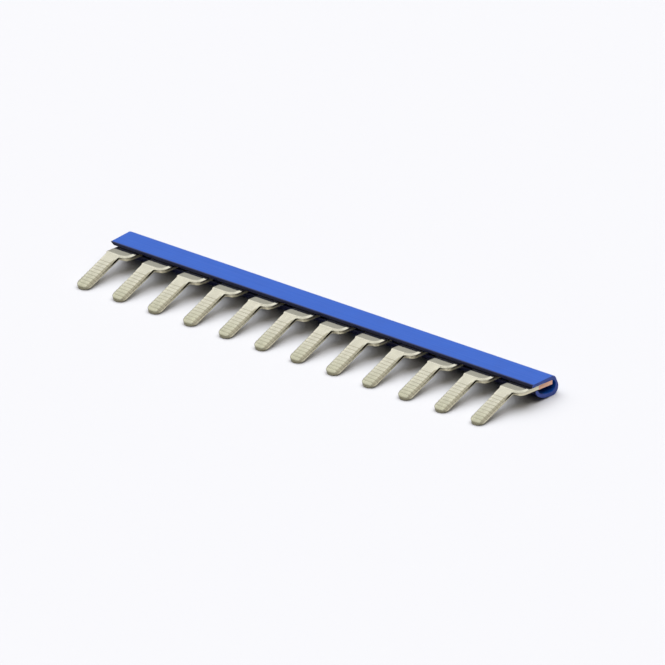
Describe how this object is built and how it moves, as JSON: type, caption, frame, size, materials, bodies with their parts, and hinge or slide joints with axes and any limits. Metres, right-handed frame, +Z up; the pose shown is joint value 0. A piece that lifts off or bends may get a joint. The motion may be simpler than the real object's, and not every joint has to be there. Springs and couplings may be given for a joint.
{
  "type": "terminal block jumper bar",
  "caption": "Comb-shaped contact bar with bent, ribbed fingers and shouldered necks, its spine covered by a folded plastic insulating sleeve.",
  "frame": {"origin": "on the ground under the middle of the bar, as it lies on its fingertips and the sleeve's rolled back", "axes": "+X along the bar towards the sawn end, -Y the way the fingers point, +Z up from the ground"},
  "size_m": [0.0734, 0.0152, 0.0031],
  "materials": {
    "plated_metal": "tin or silver plated copper alloy, satin, with fine cross ribs",
    "blue_plastic": "smooth extruded plastic, half gloss"
  },
  "bodies": {
    "root": {"contact_comb": "plated_metal", "insulating_sleeve": "blue_plastic"}
  },
  "joints": []
}
